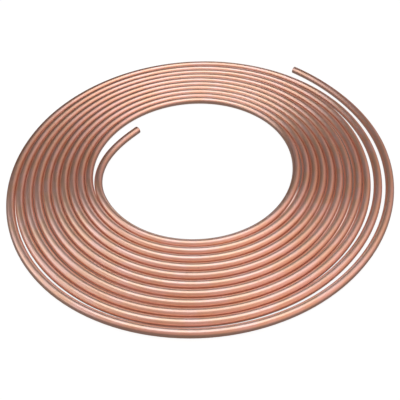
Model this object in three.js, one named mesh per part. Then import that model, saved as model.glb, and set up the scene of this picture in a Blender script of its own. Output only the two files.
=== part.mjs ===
// A coil of soft copper tube: one length of round tube wound into a flat spiral, one layer
// deep, lying on its side. Both ends are cut square and open, and both are free: the inner
// end swings into the eye, and the outer end springs away from the last turn.
//
// Millimetres, +Z up. The origin is the middle of the coil's footprint, on the floor.

import * as THREE from "three";

// The tube
const TUBE_DIAMETER = 8;
const WALL = 1;

// The winding, counter-clockwise seen from above, with angles in degrees from +X
const INNER_END_ANGLE = 140;
const TURNS = 10.761;
const EYE_RADIUS = 100; // from the middle of the coil to the inside of the first whole turn
const TURN_GAP = 0.26; // air between one turn and the next
const OVAL = 2.9; // how far the turns are drawn out of round, towards OVAL_ANGLE and opposite
const OVAL_ANGLE = 58;

// The inner end: a tail that swings into the eye, after which the first turn lies a little slack
const TAIL_ANGLE = 65;
const TAIL_SWING = 13.1;
const SLACK_ANGLE = 212; // from the inner end to the middle of the slack stretch
const SLACK_REACH = 53; // from the middle of the slack stretch to each of its ends
const SLACK = 1.5;

// The outer end: the last turn springs away, and the turn under it bulges after it
const SPRING_ANGLE = 216;
const SPRING = 20.6;
const BULGE_ANGLE = 381; // from the outer end back to the middle of the bulge
const BULGE_REACH = 110;
const BULGE = 4.2;

// Soft tube keeps the pushes it gets in handling. Each one lies at an angle and a turn, fades
// out over its reach along the turn and its spread across the turns, and shifts the centre line.
const PUSHES = [
  { angle: 61, reach: 145, turn: 0.9, spread: 8, shift: -2.5 },
  { angle: 65, reach: 138, turn: 8.9, spread: 8, shift: -2.4 },
  { angle: 32, reach: 84, turn: 8.7, spread: 3, shift: 5.2 },
  { angle: 264, reach: 93, turn: 0.7, spread: 8, shift: -2.4 },
  { angle: 229, reach: 65, turn: 10.4, spread: 5, shift: 2.4 },
  { angle: 36, reach: 31, turn: 11.1, spread: 1.3, shift: -1.8 },
];

// Facets
const STEPS_PER_TURN = 36;
const TUBE_SIDES = 8;

const FULL_TURN = 360;
const WOUND_ANGLE = TURNS * FULL_TURN;
const STEPS = Math.ceil(TURNS * STEPS_PER_TURN);

// A smooth hump, 1 at its middle and 0 from its reach outwards on both sides
function hump(distance, reach) {
  return 1 - THREE.MathUtils.smoothstep(Math.abs(distance), 0, reach);
}

// How far the pushes together shift the centre line at a wound angle
function pushed(wound) {
  let shift = 0;
  for (const push of PUSHES) {
    const past = INNER_END_ANGLE + wound - push.angle + FULL_TURN / 2;
    const along = THREE.MathUtils.euclideanModulo(past, FULL_TURN) - FULL_TURN / 2;
    const across = wound / FULL_TURN - push.turn;
    shift += push.shift * hump(along, push.reach) * hump(across, push.spread);
  }
  return shift;
}

// The centre line: a spiral that gains one tube and one gap each turn, with its ends let loose
class Winding extends THREE.Curve {
  // Centre line radius at an angle wound on from the inner end
  radius(wound) {
    const pitch = TUBE_DIAMETER + TURN_GAP;
    const spiral = EYE_RADIUS + TUBE_DIAMETER / 2 + (pitch * (wound - TAIL_ANGLE)) / FULL_TURN;
    const across = THREE.MathUtils.degToRad(INNER_END_ANGLE + wound - OVAL_ANGLE);
    const oval = OVAL * Math.cos(2 * across);
    const tail = TAIL_SWING * (1 - THREE.MathUtils.smoothstep(wound, 0, TAIL_ANGLE));
    const slack = SLACK * hump(wound - SLACK_ANGLE, SLACK_REACH);
    const bulge = BULGE * hump(wound - (WOUND_ANGLE - BULGE_ANGLE), BULGE_REACH);
    const loose = Math.max(0, 1 - (WOUND_ANGLE - wound) / SPRING_ANGLE);
    return spiral + oval - tail - slack + bulge + SPRING * loose ** 3 + pushed(wound);
  }

  getPoint(t, target = new THREE.Vector3()) {
    const wound = t * WOUND_ANGLE;
    const angle = THREE.MathUtils.degToRad(INNER_END_ANGLE + wound);
    const radius = this.radius(wound);
    return target.set(radius * Math.cos(angle), radius * Math.sin(angle), TUBE_DIAMETER / 2);
  }

  // Steps go by equal angles, so the facets of neighbouring turns run parallel. The last step
  // is cut short at the outer end.
  getUtoTmapping(u) {
    return Math.min((u * STEPS) / (TURNS * STEPS_PER_TURN), 1);
  }
}

// Corners of a regular polygon with a flat side across the X axis, so that the tube rests on a flat
function polygon(sides, acrossFlats) {
  const cornerRadius = acrossFlats / 2 / Math.cos(Math.PI / sides);
  const corners = [];
  for (let side = 0; side < sides; side += 1) {
    const angle = ((side + 0.5) * 2 * Math.PI) / sides;
    const x = cornerRadius * Math.cos(angle);
    const y = cornerRadius * Math.sin(angle);
    corners.push(new THREE.Vector2(x, y));
  }
  return corners;
}

// The tube: its ring section carried along the winding, open at both ends
function tubeGeometry() {
  const section = new THREE.Shape(polygon(TUBE_SIDES, TUBE_DIAMETER));
  section.holes.push(new THREE.Path(polygon(TUBE_SIDES, TUBE_DIAMETER - 2 * WALL)));
  return new THREE.ExtrudeGeometry(section, { steps: STEPS, extrudePath: new Winding() });
}

const copper = new THREE.MeshStandardMaterial({ color: 0xc98d75, metalness: 1, roughness: 0.35 });

const tube = new THREE.Mesh(tubeGeometry(), copper);
tube.name = "copper_tube";

// The footprint is centred on the origin
const footprint = new THREE.Box3().setFromObject(tube);
const middle = footprint.getCenter(new THREE.Vector3());
tube.position.set(-middle.x, -middle.y, 0);

const coil = new THREE.Group();
coil.add(tube);

export default coil;
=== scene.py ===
import math

import bpy
import numpy as np
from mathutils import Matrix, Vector


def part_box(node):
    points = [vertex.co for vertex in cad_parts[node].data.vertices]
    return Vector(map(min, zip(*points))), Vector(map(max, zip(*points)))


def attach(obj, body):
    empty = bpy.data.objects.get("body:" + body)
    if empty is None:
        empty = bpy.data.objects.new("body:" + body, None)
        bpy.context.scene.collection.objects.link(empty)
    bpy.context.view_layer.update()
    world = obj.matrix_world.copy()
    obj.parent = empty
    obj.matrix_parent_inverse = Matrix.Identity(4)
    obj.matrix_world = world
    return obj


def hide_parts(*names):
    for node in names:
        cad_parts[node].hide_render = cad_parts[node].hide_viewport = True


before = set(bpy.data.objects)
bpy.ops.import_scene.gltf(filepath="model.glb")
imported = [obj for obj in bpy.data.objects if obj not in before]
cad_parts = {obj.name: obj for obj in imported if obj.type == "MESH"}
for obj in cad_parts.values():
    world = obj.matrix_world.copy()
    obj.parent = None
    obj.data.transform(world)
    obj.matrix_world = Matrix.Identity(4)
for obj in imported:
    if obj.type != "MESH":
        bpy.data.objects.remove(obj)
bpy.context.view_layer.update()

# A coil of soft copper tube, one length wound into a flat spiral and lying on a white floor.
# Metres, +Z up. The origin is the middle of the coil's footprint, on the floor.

MM = 0.001
FULL_TURN = 360

# The tube
TUBE_DIAMETER = 8 * MM
WALL = 1 * MM
EDGE_ROUND = 0.25 * MM

# The winding, counter-clockwise seen from above, with angles in degrees from +X
INNER_END_ANGLE = 140
TURNS = 10.761
WOUND_ANGLE = TURNS * FULL_TURN
EYE_RADIUS = 100 * MM
TURN_GAP = 0.26 * MM
OVAL = 2.9 * MM
OVAL_ANGLE = 58

# The inner end: a tail that swings into the eye, after which the first turn lies a little slack
TAIL_ANGLE = 65
TAIL_SWING = 13.1 * MM
SLACK_ANGLE = 212
SLACK_REACH = 53
SLACK = 1.5 * MM

# The outer end: the last turn springs away, and the turn under it bulges after it
SPRING_ANGLE = 216
SPRING = 20.6 * MM
BULGE_ANGLE = 381
BULGE_REACH = 110
BULGE = 4.2 * MM

# Pushes kept from handling: plan angle and reach along the turn, turn and spread across the
# turns, and the shift of the centre line. The last three are slight, and open the air beside the
# last two turns at the front left and the right.
PUSHES = [
    (61, 145, 0.9, 8, -2.5 * MM),
    (65, 138, 8.9, 8, -2.4 * MM),
    (32, 84, 8.7, 3, 5.2 * MM),
    (264, 93, 0.7, 8, -2.4 * MM),
    (229, 65, 10.4, 5, 2.4 * MM),
    (36, 31, 11.1, 1.3, -1.8 * MM),
    (226, 36, 10.24, 0.9, 0.65 * MM),
    (226, 36, 9.24, 0.9, -0.3 * MM),
    (5, 45, 8.62, 0.9, -0.8 * MM),
]

# Mesh
TUBE_SIDES = 32
OUTSIDE_STEPS_PER_TURN = 160
BORE_STEPS_PER_TURN = 72
EDGE_RINGS = 5
FOOTPRINT_POINTS = 20000


# ---------------------------------------------------------------- the winding


def smooth_step(value, low, high):
    """3x^2 - 2x^3 of how far value has come from low to high, held to 0..1."""
    x = np.clip((value - low) / (high - low), 0, 1)
    return x * x * (3 - 2 * x)


def hump(distance, reach):
    """One at no distance, falling by a smooth step to nothing at its reach on both sides."""
    return 1 - smooth_step(np.abs(distance), 0, reach)


def plan_distance(wound, angle):
    """Degrees in plan from a direction to angles wound on from the inner end, the short way round."""
    return (INNER_END_ANGLE + wound - angle + FULL_TURN / 2) % FULL_TURN - FULL_TURN / 2


def pushed(wound):
    """Sum of the pushes: each is its shift times a hump in plan angle times a hump in turns."""
    shift = np.zeros_like(wound)
    for angle, reach, turn, spread, depth in PUSHES:
        along = hump(plan_distance(wound, angle), reach)
        across = hump(wound / FULL_TURN - turn, spread)
        shift = shift + depth * along * across
    return shift


def winding_radius(wound):
    """Centre line radius at angles wound on from the inner end: a spiral that gains one tube and one
    gap a turn, drawn out of round, less the tail and the slack, plus the bulge, spring and pushes."""
    pitch = TUBE_DIAMETER + TURN_GAP
    spiral = EYE_RADIUS + TUBE_DIAMETER / 2 + pitch * (wound - TAIL_ANGLE) / FULL_TURN
    oval = OVAL * np.cos(2 * np.radians(INNER_END_ANGLE + wound - OVAL_ANGLE))
    tail = TAIL_SWING * (1 - smooth_step(wound, 0, TAIL_ANGLE))
    slack = SLACK * hump(wound - SLACK_ANGLE, SLACK_REACH)
    bulge = BULGE * hump(wound - (WOUND_ANGLE - BULGE_ANGLE), BULGE_REACH)
    loose = np.clip(1 - (WOUND_ANGLE - wound) / SPRING_ANGLE, 0, 1)
    return spiral + oval - tail - slack + bulge + SPRING * loose**3 + pushed(wound)


def centre_line(wound):
    """Points of the tube's centre line: the winding's radius turned to each angle, half a tube up."""
    angle = np.radians(INNER_END_ANGLE + wound)
    radius = winding_radius(wound)
    height = np.full_like(radius, TUBE_DIAMETER / 2)
    return np.stack([radius * np.cos(angle), radius * np.sin(angle), height], axis=-1)


def headings(wound):
    """Unit vectors along the tube, from points a hundredth of a degree to each side."""
    nudge = 0.01
    ahead = centre_line(wound + nudge) - centre_line(wound - nudge)
    return ahead / np.linalg.norm(ahead, axis=-1, keepdims=True)


def footprint_middle():
    """Middle of the upright box round the centre line, which is also the middle of the tube's own."""
    line = centre_line(np.linspace(0, WOUND_ANGLE, FOOTPRINT_POINTS))
    return (line.min(axis=0) + line.max(axis=0)) / 2


# Where the point that the tube winds round lies in the frame
low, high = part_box("copper_tube")
COIL_MIDDLE = np.array([(low.x + high.x) / 2, (low.y + high.y) / 2, 0])
COIL_MIDDLE[:2] -= footprint_middle()[:2]


def tube_length(wound):
    """Length of the centre line from the inner end to each of these rising angles."""
    steps = np.linalg.norm(np.diff(centre_line(wound), axis=0), axis=1)
    return np.concatenate([[0], np.cumsum(steps)])


# ---------------------------------------------------------------- the tube


def ring_table():
    """Where each ring of the tube's skin lies: its angle along the winding, its shift along the tube and
    its radius. The rings run out along the outside, over the cut end with its two edges rounded to a
    quarter circle, back along the bore and over the other cut end, so the last ring meets the first."""
    outer = TUBE_DIAMETER / 2
    inner = outer - WALL
    round_edge = np.radians(np.linspace(90, 0, EDGE_RINGS))
    off_wall = EDGE_ROUND * (1 - np.sin(round_edge))
    off_cut = EDGE_ROUND * (1 - np.cos(round_edge))
    end_radius = np.concatenate([outer - off_wall, (inner + off_wall)[::-1]])
    end_shift = np.concatenate([-off_cut, -off_cut[::-1]])

    outside = np.linspace(0, WOUND_ANGLE, round(TURNS * OUTSIDE_STEPS_PER_TURN) + 1)[1:-1]
    bore = np.linspace(WOUND_ANGLE, 0, round(TURNS * BORE_STEPS_PER_TURN) + 1)[1:-1]
    outer_end = np.full_like(end_radius, WOUND_ANGLE)
    inner_end = np.zeros_like(end_radius)
    wound = [outside, outer_end, bore, inner_end]
    shift = [0 * outside, end_shift, 0 * bore, -end_shift[::-1]]
    radius = [0 * outside + outer, end_radius, 0 * bore + inner, end_radius[::-1]]
    return np.concatenate(wound), np.concatenate(shift), np.concatenate(radius)


def tube_mesh():
    """The ring section carried along the winding: point (i, j) is the centre line at ring i plus the
    ring's radius times cos(j) towards the middle of the coil and sin(j) upwards."""
    wound, shift, radius = ring_table()
    along = headings(wound)
    centre = centre_line(wound) + COIL_MIDDLE + shift[:, None] * along
    up = np.array([0.0, 0.0, 1.0])
    inward = np.cross(up, along)
    around = np.arange(TUBE_SIDES) * 2 * np.pi / TUBE_SIDES
    side = np.cos(around)[None, :, None] * inward[:, None, :] + np.sin(around)[None, :, None] * up
    points = centre[:, None, :] + radius[:, None, None] * side

    in_order = np.sort(wound)
    length = np.interp(wound, in_order, tube_length(in_order))
    straight = np.empty_like(points)
    straight[..., 0] = radius[:, None] * np.cos(around)
    straight[..., 1] = radius[:, None] * np.sin(around)
    straight[..., 2] = length[:, None] + shift[:, None]

    rings = len(wound)
    i, j = np.meshgrid(np.arange(rings), np.arange(TUBE_SIDES), indexing="ij")
    ring = i * TUBE_SIDES
    next_ring = (i + 1) % rings * TUBE_SIDES
    next_j = (j + 1) % TUBE_SIDES
    corners = [ring + j, ring + next_j, next_ring + next_j, next_ring + j]
    faces = np.stack(corners, axis=-1).reshape(-1, 4)
    return points.reshape(-1, 3), faces, straight.reshape(-1, 3)


def make_piece(name, points, faces, material):
    """A smooth-shaded mesh object at the origin, from whole arrays of points and four-cornered faces."""
    mesh = bpy.data.meshes.new(name)
    mesh.vertices.add(len(points))
    mesh.vertices.foreach_set("co", points.ravel())
    mesh.loops.add(faces.size)
    mesh.loops.foreach_set("vertex_index", faces.ravel())
    mesh.polygons.add(len(faces))
    mesh.polygons.foreach_set("loop_start", np.arange(0, faces.size, 4))
    mesh.update(calc_edges=True)
    mesh.validate()
    mesh.shade_smooth()
    mesh.materials.append(material)
    piece = bpy.data.objects.new(name, mesh)
    bpy.context.scene.collection.objects.link(piece)
    return piece


# ---------------------------------------------------------------- materials


def linear(hex_colour):
    """Linear RGBA of an sRGB hex colour such as "c98d75"."""
    srgb = np.array([int(hex_colour[i:i + 2], 16) / 255 for i in (0, 2, 4)])
    values = np.where(srgb <= 0.04045, srgb / 12.92, ((srgb + 0.055) / 1.055) ** 2.4)
    return (*values.tolist(), 1.0)


def add_node(tree, kind, inputs=None, **settings):
    """Adds a node, sets its settings, and links or sets each input by name or number. A node given as an
    input is linked by its first output."""
    node = tree.nodes.new(kind)
    for name, value in settings.items():
        setattr(node, name, value)
    for socket, value in (inputs or {}).items():
        if isinstance(value, bpy.types.Node):
            value = value.outputs[0]
        if isinstance(value, bpy.types.NodeSocket):
            tree.links.new(value, node.inputs[socket])
        else:
            node.inputs[socket].default_value = value
    return node


def new_material(name):
    """A material whose node tree is still empty."""
    material = bpy.data.materials.new(name)
    material.use_nodes = True
    material.node_tree.nodes.clear()
    return material


# Patterns on the tube: the size of their features across the tube and along it, and their detail.
# Hair lines and bands run along it from the drawing die, the bloom is the film that annealing leaves,
# the marks are rubs from handling, and the ripple is the slight unevenness of a bend. Real hair lines
# are a few hundredths of a millimetre apart, too fine to show, and are drawn ten times as coarse.
COPPER_PATTERNS = {
    "hair_lines": (0.35 * MM, 70 * MM, 2.0),
    "bands": (2.6 * MM, 160 * MM, 1.0),
    "bloom": (7 * MM, 17 * MM, 2.0),
    "marks": (1.6 * MM, 3.2 * MM, 3.0),
    "ripple": (14 * MM, 9 * MM, 1.0),
}

CLEAN_COPPER = "faccbe"
# What lies over the clean skin: the pattern, where in it the colour sets in and where it is full, its
# share there, and the colour
COPPER_TONES = [
    ("bloom", 0.35, 0.65, 1.0, "f7c7ac"),
    ("bands", 0.45, 0.75, 0.3, "e0a08a"),
    ("hair_lines", 0.5, 0.75, 0.2, "c98a72"),
    ("marks", 0.62, 0.78, 0.35, "b3785e"),
]
# The flanks that face the next turns: how far to the side of the tube's middle they set in and are full,
# their share there, and the duller, greyer colour painted on them, a painted light for the paler light
# between the turns
FLANK_START = 0.6 * TUBE_DIAMETER / 2
FLANK_END = 0.95 * TUBE_DIAMETER / 2
FLANK_SHARE = 0.4
FLANK_PAINTED_LIGHT = "f2cbb9"
SAWN_COPPER = "f6d2c2"
BORE_COPPER = "8a5a47"

# Roughness at the low and the high end of this span of the hair lines' pattern, and what the marks, the
# flanks and the bore add to it
HAIR_LINE_SPAN = (0.3, 0.7)
SKIN_ROUGHNESS = (0.29, 0.35)
MARKS_ROUGHER = 0.06
FLANKS_ROUGHER = 0.12
BORE_ROUGHER = 0.2

# Relief of the patterns, and of the rings that the saw leaves on the cut ends
COPPER_RELIEF = [("hair_lines", 0.002 * MM), ("bands", 0.014 * MM), ("ripple", 0.12 * MM)]
SAW_RING_PITCH = 0.16 * MM
SAW_RING_HEIGHT = 0.006 * MM
# Whatever lies closer than this to the bore or to a cut face belongs to it
SKIN_DEPTH = 0.1 * MM


def soft_drawn_copper():
    """Bright soft copper, drawn through a die and annealed. It gives the eye a satin skin with hair lines
    along the tube, a bloom that drifts between pink and straw, darker handling marks, a sawn bright ring
    at each cut end and a dull brown bore."""
    material = new_material("soft_drawn_copper")
    tree = material.node_tree
    unwound = add_node(tree, "ShaderNodeAttribute", attribute_name="unwound").outputs["Vector"]
    pattern = {}
    for name, (across, along, detail) in COPPER_PATTERNS.items():
        per_metre = (1 / across, 1 / across, 1 / along)
        place = add_node(tree, "ShaderNodeVectorMath", {0: unwound, 1: per_metre}, operation="MULTIPLY")
        noise = {"Vector": place, "Scale": 1.0, "Detail": detail}
        pattern[name] = add_node(tree, "ShaderNodeTexNoise", noise)

    # The flanks, the cut ends and the bore, told from the rest by the place along the tube and across it
    place = add_node(tree, "ShaderNodeSeparateXYZ", {0: unwound})
    to_side = add_node(tree, "ShaderNodeMath", {0: place.outputs[0]}, operation="ABSOLUTE")
    flank = {0: to_side, 1: FLANK_START, 2: FLANK_END, 4: FLANK_SHARE}
    flank = add_node(tree, "ShaderNodeMapRange", flank, interpolation_type="SMOOTHSTEP")
    across = add_node(tree, "ShaderNodeCombineXYZ", {0: place.outputs[0], 1: place.outputs[1]})
    radius = add_node(tree, "ShaderNodeVectorMath", {0: across}, operation="LENGTH").outputs["Value"]
    in_bore = {0: radius, 1: TUBE_DIAMETER / 2 - WALL + SKIN_DEPTH}
    in_bore = add_node(tree, "ShaderNodeMath", in_bore, operation="LESS_THAN")
    from_middle = {0: place.outputs[2], 1: TUBE_LENGTH / 2}
    from_middle = add_node(tree, "ShaderNodeMath", from_middle, operation="SUBTRACT")
    from_middle = add_node(tree, "ShaderNodeMath", {0: from_middle}, operation="ABSOLUTE")
    at_cut = {0: from_middle, 1: TUBE_LENGTH / 2 - SKIN_DEPTH}
    at_cut = add_node(tree, "ShaderNodeMath", at_cut, operation="GREATER_THAN")

    layers = []
    for name, low, high, share, tone in COPPER_TONES:
        amount = {0: pattern[name], 1: low, 2: high, 4: share}
        amount = add_node(tree, "ShaderNodeMapRange", amount, interpolation_type="SMOOTHSTEP")
        layers.append((amount, tone))
    # The flank tone is painted light: a paler, greyer copper where turn faces turn
    layers += [(flank, FLANK_PAINTED_LIGHT), (at_cut, SAWN_COPPER), (in_bore, BORE_COPPER)]
    colour = linear(CLEAN_COPPER)
    for share, tone in layers:
        colours = {0: share, 6: colour, 7: linear(tone)}
        colour = add_node(tree, "ShaderNodeMix", colours, data_type="RGBA").outputs[2]

    low, high = HAIR_LINE_SPAN
    smoother, rougher = SKIN_ROUGHNESS
    roughness = {0: pattern["hair_lines"], 1: low, 2: high, 3: smoother, 4: rougher}
    roughness = add_node(tree, "ShaderNodeMapRange", roughness)
    worn = [(pattern["marks"], MARKS_ROUGHER), (flank, FLANKS_ROUGHER), (in_bore, BORE_ROUGHER)]
    for share, rougher in worn:
        roughness = {0: share, 1: rougher, 2: roughness}
        roughness = add_node(tree, "ShaderNodeMath", roughness, operation="MULTIPLY_ADD")

    saw_rings = {0: radius, 1: 2 * math.pi / SAW_RING_PITCH}
    saw_rings = add_node(tree, "ShaderNodeMath", saw_rings, operation="MULTIPLY")
    saw_rings = add_node(tree, "ShaderNodeMath", {0: saw_rings}, operation="SINE")
    height = {0: saw_rings, 1: at_cut}
    height = add_node(tree, "ShaderNodeMath", height, operation="MULTIPLY")
    height = add_node(tree, "ShaderNodeMath", {0: height, 1: SAW_RING_HEIGHT}, operation="MULTIPLY")
    for name, depth in COPPER_RELIEF:
        height = {0: pattern[name], 1: depth, 2: height}
        height = add_node(tree, "ShaderNodeMath", height, operation="MULTIPLY_ADD")
    relief = add_node(tree, "ShaderNodeBump", {"Strength": 1.0, "Distance": 1.0, "Height": height})

    metal = {"Base Color": colour, "Metallic": 1.0, "Roughness": roughness, "Normal": relief}
    metal = add_node(tree, "ShaderNodeBsdfPrincipled", metal)
    add_node(tree, "ShaderNodeOutputMaterial", {"Surface": metal})
    return material


# What the camera sees of the paper between two turns: painted shade in brown where they touch, and by the
# width of the air, where each tone sets in and where it is full, painted copper-coloured light and then
# the open paper
CLOSED_GAP_SHADE = "634b42"
GAP_TONES = [(0.2 * MM, 0.45 * MM, "ffdccd"), (0.5 * MM, 0.9 * MM, "f7f7f7")]
# What the copper mirrors of it, all painted light: a white glow, one strength close to the coil and one
# in the open, and between two turns a copper-coloured one, full where they touch and gone over an open
# gap
MIRROR_WHITE = "ffffff"
MIRROR_GLOW = (0.22, 0.09)
SHADE_REACH = 12 * MM
SHADE_SPAN = (0.1, 0.9)
SHADE_SAMPLES = 8
GAP_COPPER = "cfa08e"
GAP_GLOW = 0.2
# What it gives back of the light that falls on it
PAPER_GREY = "6a6a6a"


def white_paper():
    """White paper, matt and evenly lit. It gives the eye plain white in the open, with a faint shadow of
    the coil, because its own glow stops just short of white, and between turns that lie close painted
    shade in the copper's brown and painted copper-coloured light. The copper mirrors it more dimly, as
    painted light."""
    material = new_material("white_paper")
    tree = material.node_tree
    lit = add_node(tree, "ShaderNodeBsdfDiffuse", {"Color": linear(PAPER_GREY)})
    rays = add_node(tree, "ShaderNodeLightPath")
    to_camera = rays.outputs["Is Camera Ray"]
    in_mirrors = {0: rays.outputs["Is Glossy Ray"], 1: rays.outputs["Is Transmission Ray"]}
    in_mirrors = add_node(tree, "ShaderNodeMath", in_mirrors, operation="MAXIMUM")

    gap = add_node(tree, "ShaderNodeAttribute", attribute_name="gap").outputs["Fac"]
    reach = {"Distance": SHADE_REACH}
    open_sky = add_node(tree, "ShaderNodeAmbientOcclusion", reach, samples=SHADE_SAMPLES).outputs["AO"]
    # Painted shade where turns touch, painted copper-coloured light in narrow gaps, then open white
    tone = linear(CLOSED_GAP_SHADE)
    for low, high, next_tone in GAP_TONES:
        share = {0: gap, 1: low, 2: high}
        share = add_node(tree, "ShaderNodeMapRange", share, interpolation_type="SMOOTHSTEP")
        tones = {0: share, 6: tone, 7: linear(next_tone)}
        tone = add_node(tree, "ShaderNodeMix", tones, data_type="RGBA").outputs[2]
    glows = [add_node(tree, "ShaderNodeEmission", {"Color": tone, "Strength": to_camera})]
    gap_span = (GAP_TONES[0][0], GAP_TONES[-1][1])
    # Painted light that only the copper's mirrors see: a white glow brighter in the coil's shade, and a
    # copper glow between turns
    mirrored = [
        (MIRROR_WHITE, open_sky, SHADE_SPAN, MIRROR_GLOW),
        (GAP_COPPER, gap, gap_span, (GAP_GLOW, 0.0)),
    ]
    for colour, value, (low, high), (bottom, top) in mirrored:
        glow = {0: value, 1: low, 2: high, 3: bottom, 4: top}
        glow = add_node(tree, "ShaderNodeMapRange", glow, interpolation_type="SMOOTHSTEP")
        glow = add_node(tree, "ShaderNodeMath", {0: glow, 1: in_mirrors}, operation="MULTIPLY")
        glow = {"Color": linear(colour), "Strength": glow}
        glows.append(add_node(tree, "ShaderNodeEmission", glow))
    for glow in glows:
        lit = add_node(tree, "ShaderNodeAddShader", {0: lit, 1: glow})
    add_node(tree, "ShaderNodeOutputMaterial", {"Surface": lit})
    return material


# ---------------------------------------------------------------- the piece

points, faces, straight = tube_mesh()
TUBE_LENGTH = straight[:, 2].max()
tube = make_piece("tube", points, faces, soft_drawn_copper())
unwound = tube.data.attributes.new("unwound", "FLOAT_VECTOR", "POINT")
unwound.data.foreach_set("vector", straight.ravel())
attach(tube, "root")
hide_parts("copper_tube")


# ---------------------------------------------------------------- floor, light and camera

FLOOR_SIZE = 12.0
# The paper lies a hair below the tube, and highest between the turns, so that no two faces share a plane
FLOOR_DEPTH = 0.05 * MM
RIBBON_DEPTH = 0.03 * MM

# Wound angles between which the paper between the turns shows painted shade. No white shows between them,
# only slivers of painted copper-coloured light round one plan angle, and these are no wider than this.
SHADED_GAP_TURNS = (0.4 * FULL_TURN, 8.3 * FULL_TURN)
SLIVERS_ANGLE = -42
SLIVERS_REACH = 48
SLIVER_WIDTH = 0.5 * MM


def gap_ribbon():
    """The paper between the turns: a ribbon from under each turn's centre line to under the next one's,
    and the width of the air that shows there, which is their distance less one tube, and between the
    turns with painted shade no more than the sliver's width times a hump in plan angle, which makes the
    painted slivers of light."""
    wound = np.linspace(0, WOUND_ANGLE - FULL_TURN, round((TURNS - 1) * OUTSIDE_STEPS_PER_TURN) + 1)
    edges = np.stack([centre_line(wound), centre_line(wound + FULL_TURN)], axis=1) + COIL_MIDDLE
    air = np.linalg.norm(edges[:, 1] - edges[:, 0], axis=1) - TUBE_DIAMETER
    close = (wound > SHADED_GAP_TURNS[0]) & (wound < SHADED_GAP_TURNS[1])
    slivers = SLIVER_WIDTH * hump(plan_distance(wound, SLIVERS_ANGLE), SLIVERS_REACH)
    # Here the air width is cut down so that the paper shows painted shade and painted slivers of light
    air[close] = np.minimum(air, slivers)[close]
    edges[..., 2] = -RIBBON_DEPTH
    i = np.arange(len(wound) - 1) * 2
    faces = np.stack([i, i + 1, i + 3, i + 2], axis=-1)
    return edges.reshape(-1, 3), faces, np.repeat(air, 2)


def lay_paper(name, points, faces, air, material):
    """A sheet of paper under the coil, with the width of the air above each of its points."""
    sheet = make_piece(name, points, faces, material)
    gap = sheet.data.attributes.new("gap", "FLOAT", "POINT")
    gap.data.foreach_set("value", air)


paper = white_paper()
floor_half = FLOOR_SIZE / 2
floor_corners = np.array([(-1, -1), (1, -1), (1, 1), (-1, 1)]) * floor_half
floor_points = np.column_stack([floor_corners, np.full(4, -FLOOR_DEPTH)])
open_air = np.full(4, floor_half)
lay_paper("floor", floor_points, np.array([[0, 1, 2, 3]]), open_air, paper)
lay_paper("floor_between_turns", *gap_ribbon(), paper)

scene = bpy.context.scene
scene.view_settings.view_transform = "Standard"

# The studio: dim and slightly warm, and brighter where it is open to the room, above the horizon at the
# front and all the way down at the right. Each share of its light goes by the direction along one axis:
# the axis, where the share sets in and where it is full, and its value at both. The share of the front
# is multiplied by that of the height, and the share of the right is added.
STUDIO_COLOUR = "ffdfd2"
STUDIO_SHARES = [
    (1, -0.4, 0.4, 0.42, 0.0),
    (2, 0.05, 0.5, 0.0, 1.0),
    (0, 0.0, 0.65, 0.11, 0.48),
]
# Only the camera sees the backdrop, and the copper mirrors the studio that lights it
BACKDROP_WHITE = "ffffff"

world = bpy.data.worlds.new("studio")
world.use_nodes = True
sky = world.node_tree
sky.nodes.clear()
direction = add_node(sky, "ShaderNodeTexCoord").outputs["Generated"]
direction = add_node(sky, "ShaderNodeSeparateXYZ", {0: direction})
shares = []
for axis, low, high, bottom, top in STUDIO_SHARES:
    share = {0: direction.outputs[axis], 1: low, 2: high, 3: bottom, 4: top}
    shares.append(add_node(sky, "ShaderNodeMapRange", share, interpolation_type="SMOOTHSTEP"))
strength = dict(enumerate(shares))
strength = add_node(sky, "ShaderNodeMath", strength, operation="MULTIPLY_ADD")
studio = {"Color": linear(STUDIO_COLOUR), "Strength": strength}
studio = add_node(sky, "ShaderNodeBackground", studio)
backdrop = {"Color": linear(BACKDROP_WHITE), "Strength": 1.0}
backdrop = add_node(sky, "ShaderNodeBackground", backdrop)
to_camera = add_node(sky, "ShaderNodeLightPath").outputs["Is Camera Ray"]
seen = add_node(sky, "ShaderNodeMixShader", {0: to_camera, 1: studio, 2: backdrop})
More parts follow.
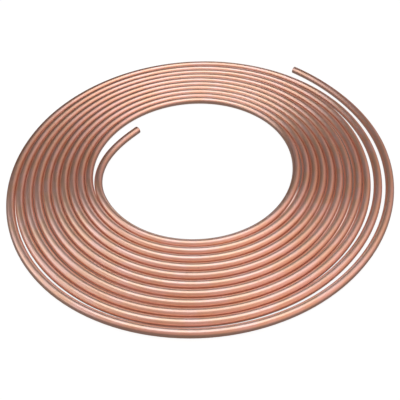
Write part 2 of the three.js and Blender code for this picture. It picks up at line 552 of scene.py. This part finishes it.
add_node(sky, "ShaderNodeOutputWorld", {"Surface": seen})
scene.world = world


# Softboxes round the middle of the coil: azimuth and elevation in degrees, distance, width, depth, watts
# and colour
SOFTBOXES = {
    "overhead": (90, 89.9, 0.6, 0.6, 0.6, 1.3, "daf4ff"),
    "left": (176, 52, 0.7, 0.4, 0.9, 0.98, "f2fbff"),
    "right": (0, 60, 0.7, 0.4, 0.9, 0.64, "f2fbff"),
    "back": (84, 11, 1.2, 0.5, 0.42, 0.77, "daf4ff"),
    "low left": (200, 25, 0.75, 0.8, 0.35, 0.5, "daf4ff"),
}


def softbox(name, azimuth, elevation, distance, width, depth, watts, colour):
    """A rectangular area lamp that faces the middle of the coil from a direction in degrees."""
    lamp = bpy.data.lights.new(name, "AREA")
    lamp.shape = "RECTANGLE"
    lamp.size = width
    lamp.size_y = depth
    lamp.energy = watts
    lamp.color = linear(colour)[:3]
    box = bpy.data.objects.new(name, lamp)
    across, up = math.radians(azimuth), math.radians(elevation)
    from_coil = Vector((math.cos(up) * math.cos(across), math.cos(up) * math.sin(across), math.sin(up)))
    box.location = from_coil * distance
    box.rotation_euler = from_coil.to_track_quat("Z", "Y").to_euler()
    scene.collection.objects.link(box)


for lamp_name, setting in SOFTBOXES.items():
    softbox(lamp_name, *setting)

# The camera: its place from the middle of the coil, its pitch below the horizon and its turn to the
# right in degrees, and its focal length in pixels of a square image
CAMERA_PLACE = np.array([-0.2136, -45.485, 43.627]) * TUBE_DIAMETER
CAMERA_PITCH = 47.87
CAMERA_TURN = 0.75
FOCAL_PIXELS = 479.9
IMAGE_SIDE = 400
SENSOR = 36.0

camera_data = bpy.data.cameras.new("camera")
camera_data.sensor_width = SENSOR
camera_data.lens = SENSOR * FOCAL_PIXELS / IMAGE_SIDE
camera = bpy.data.objects.new("camera", camera_data)
camera.location = CAMERA_PLACE + COIL_MIDDLE
camera.rotation_euler = (math.radians(90 - CAMERA_PITCH), 0, math.radians(-CAMERA_TURN))
scene.collection.objects.link(camera)
scene.camera = camera
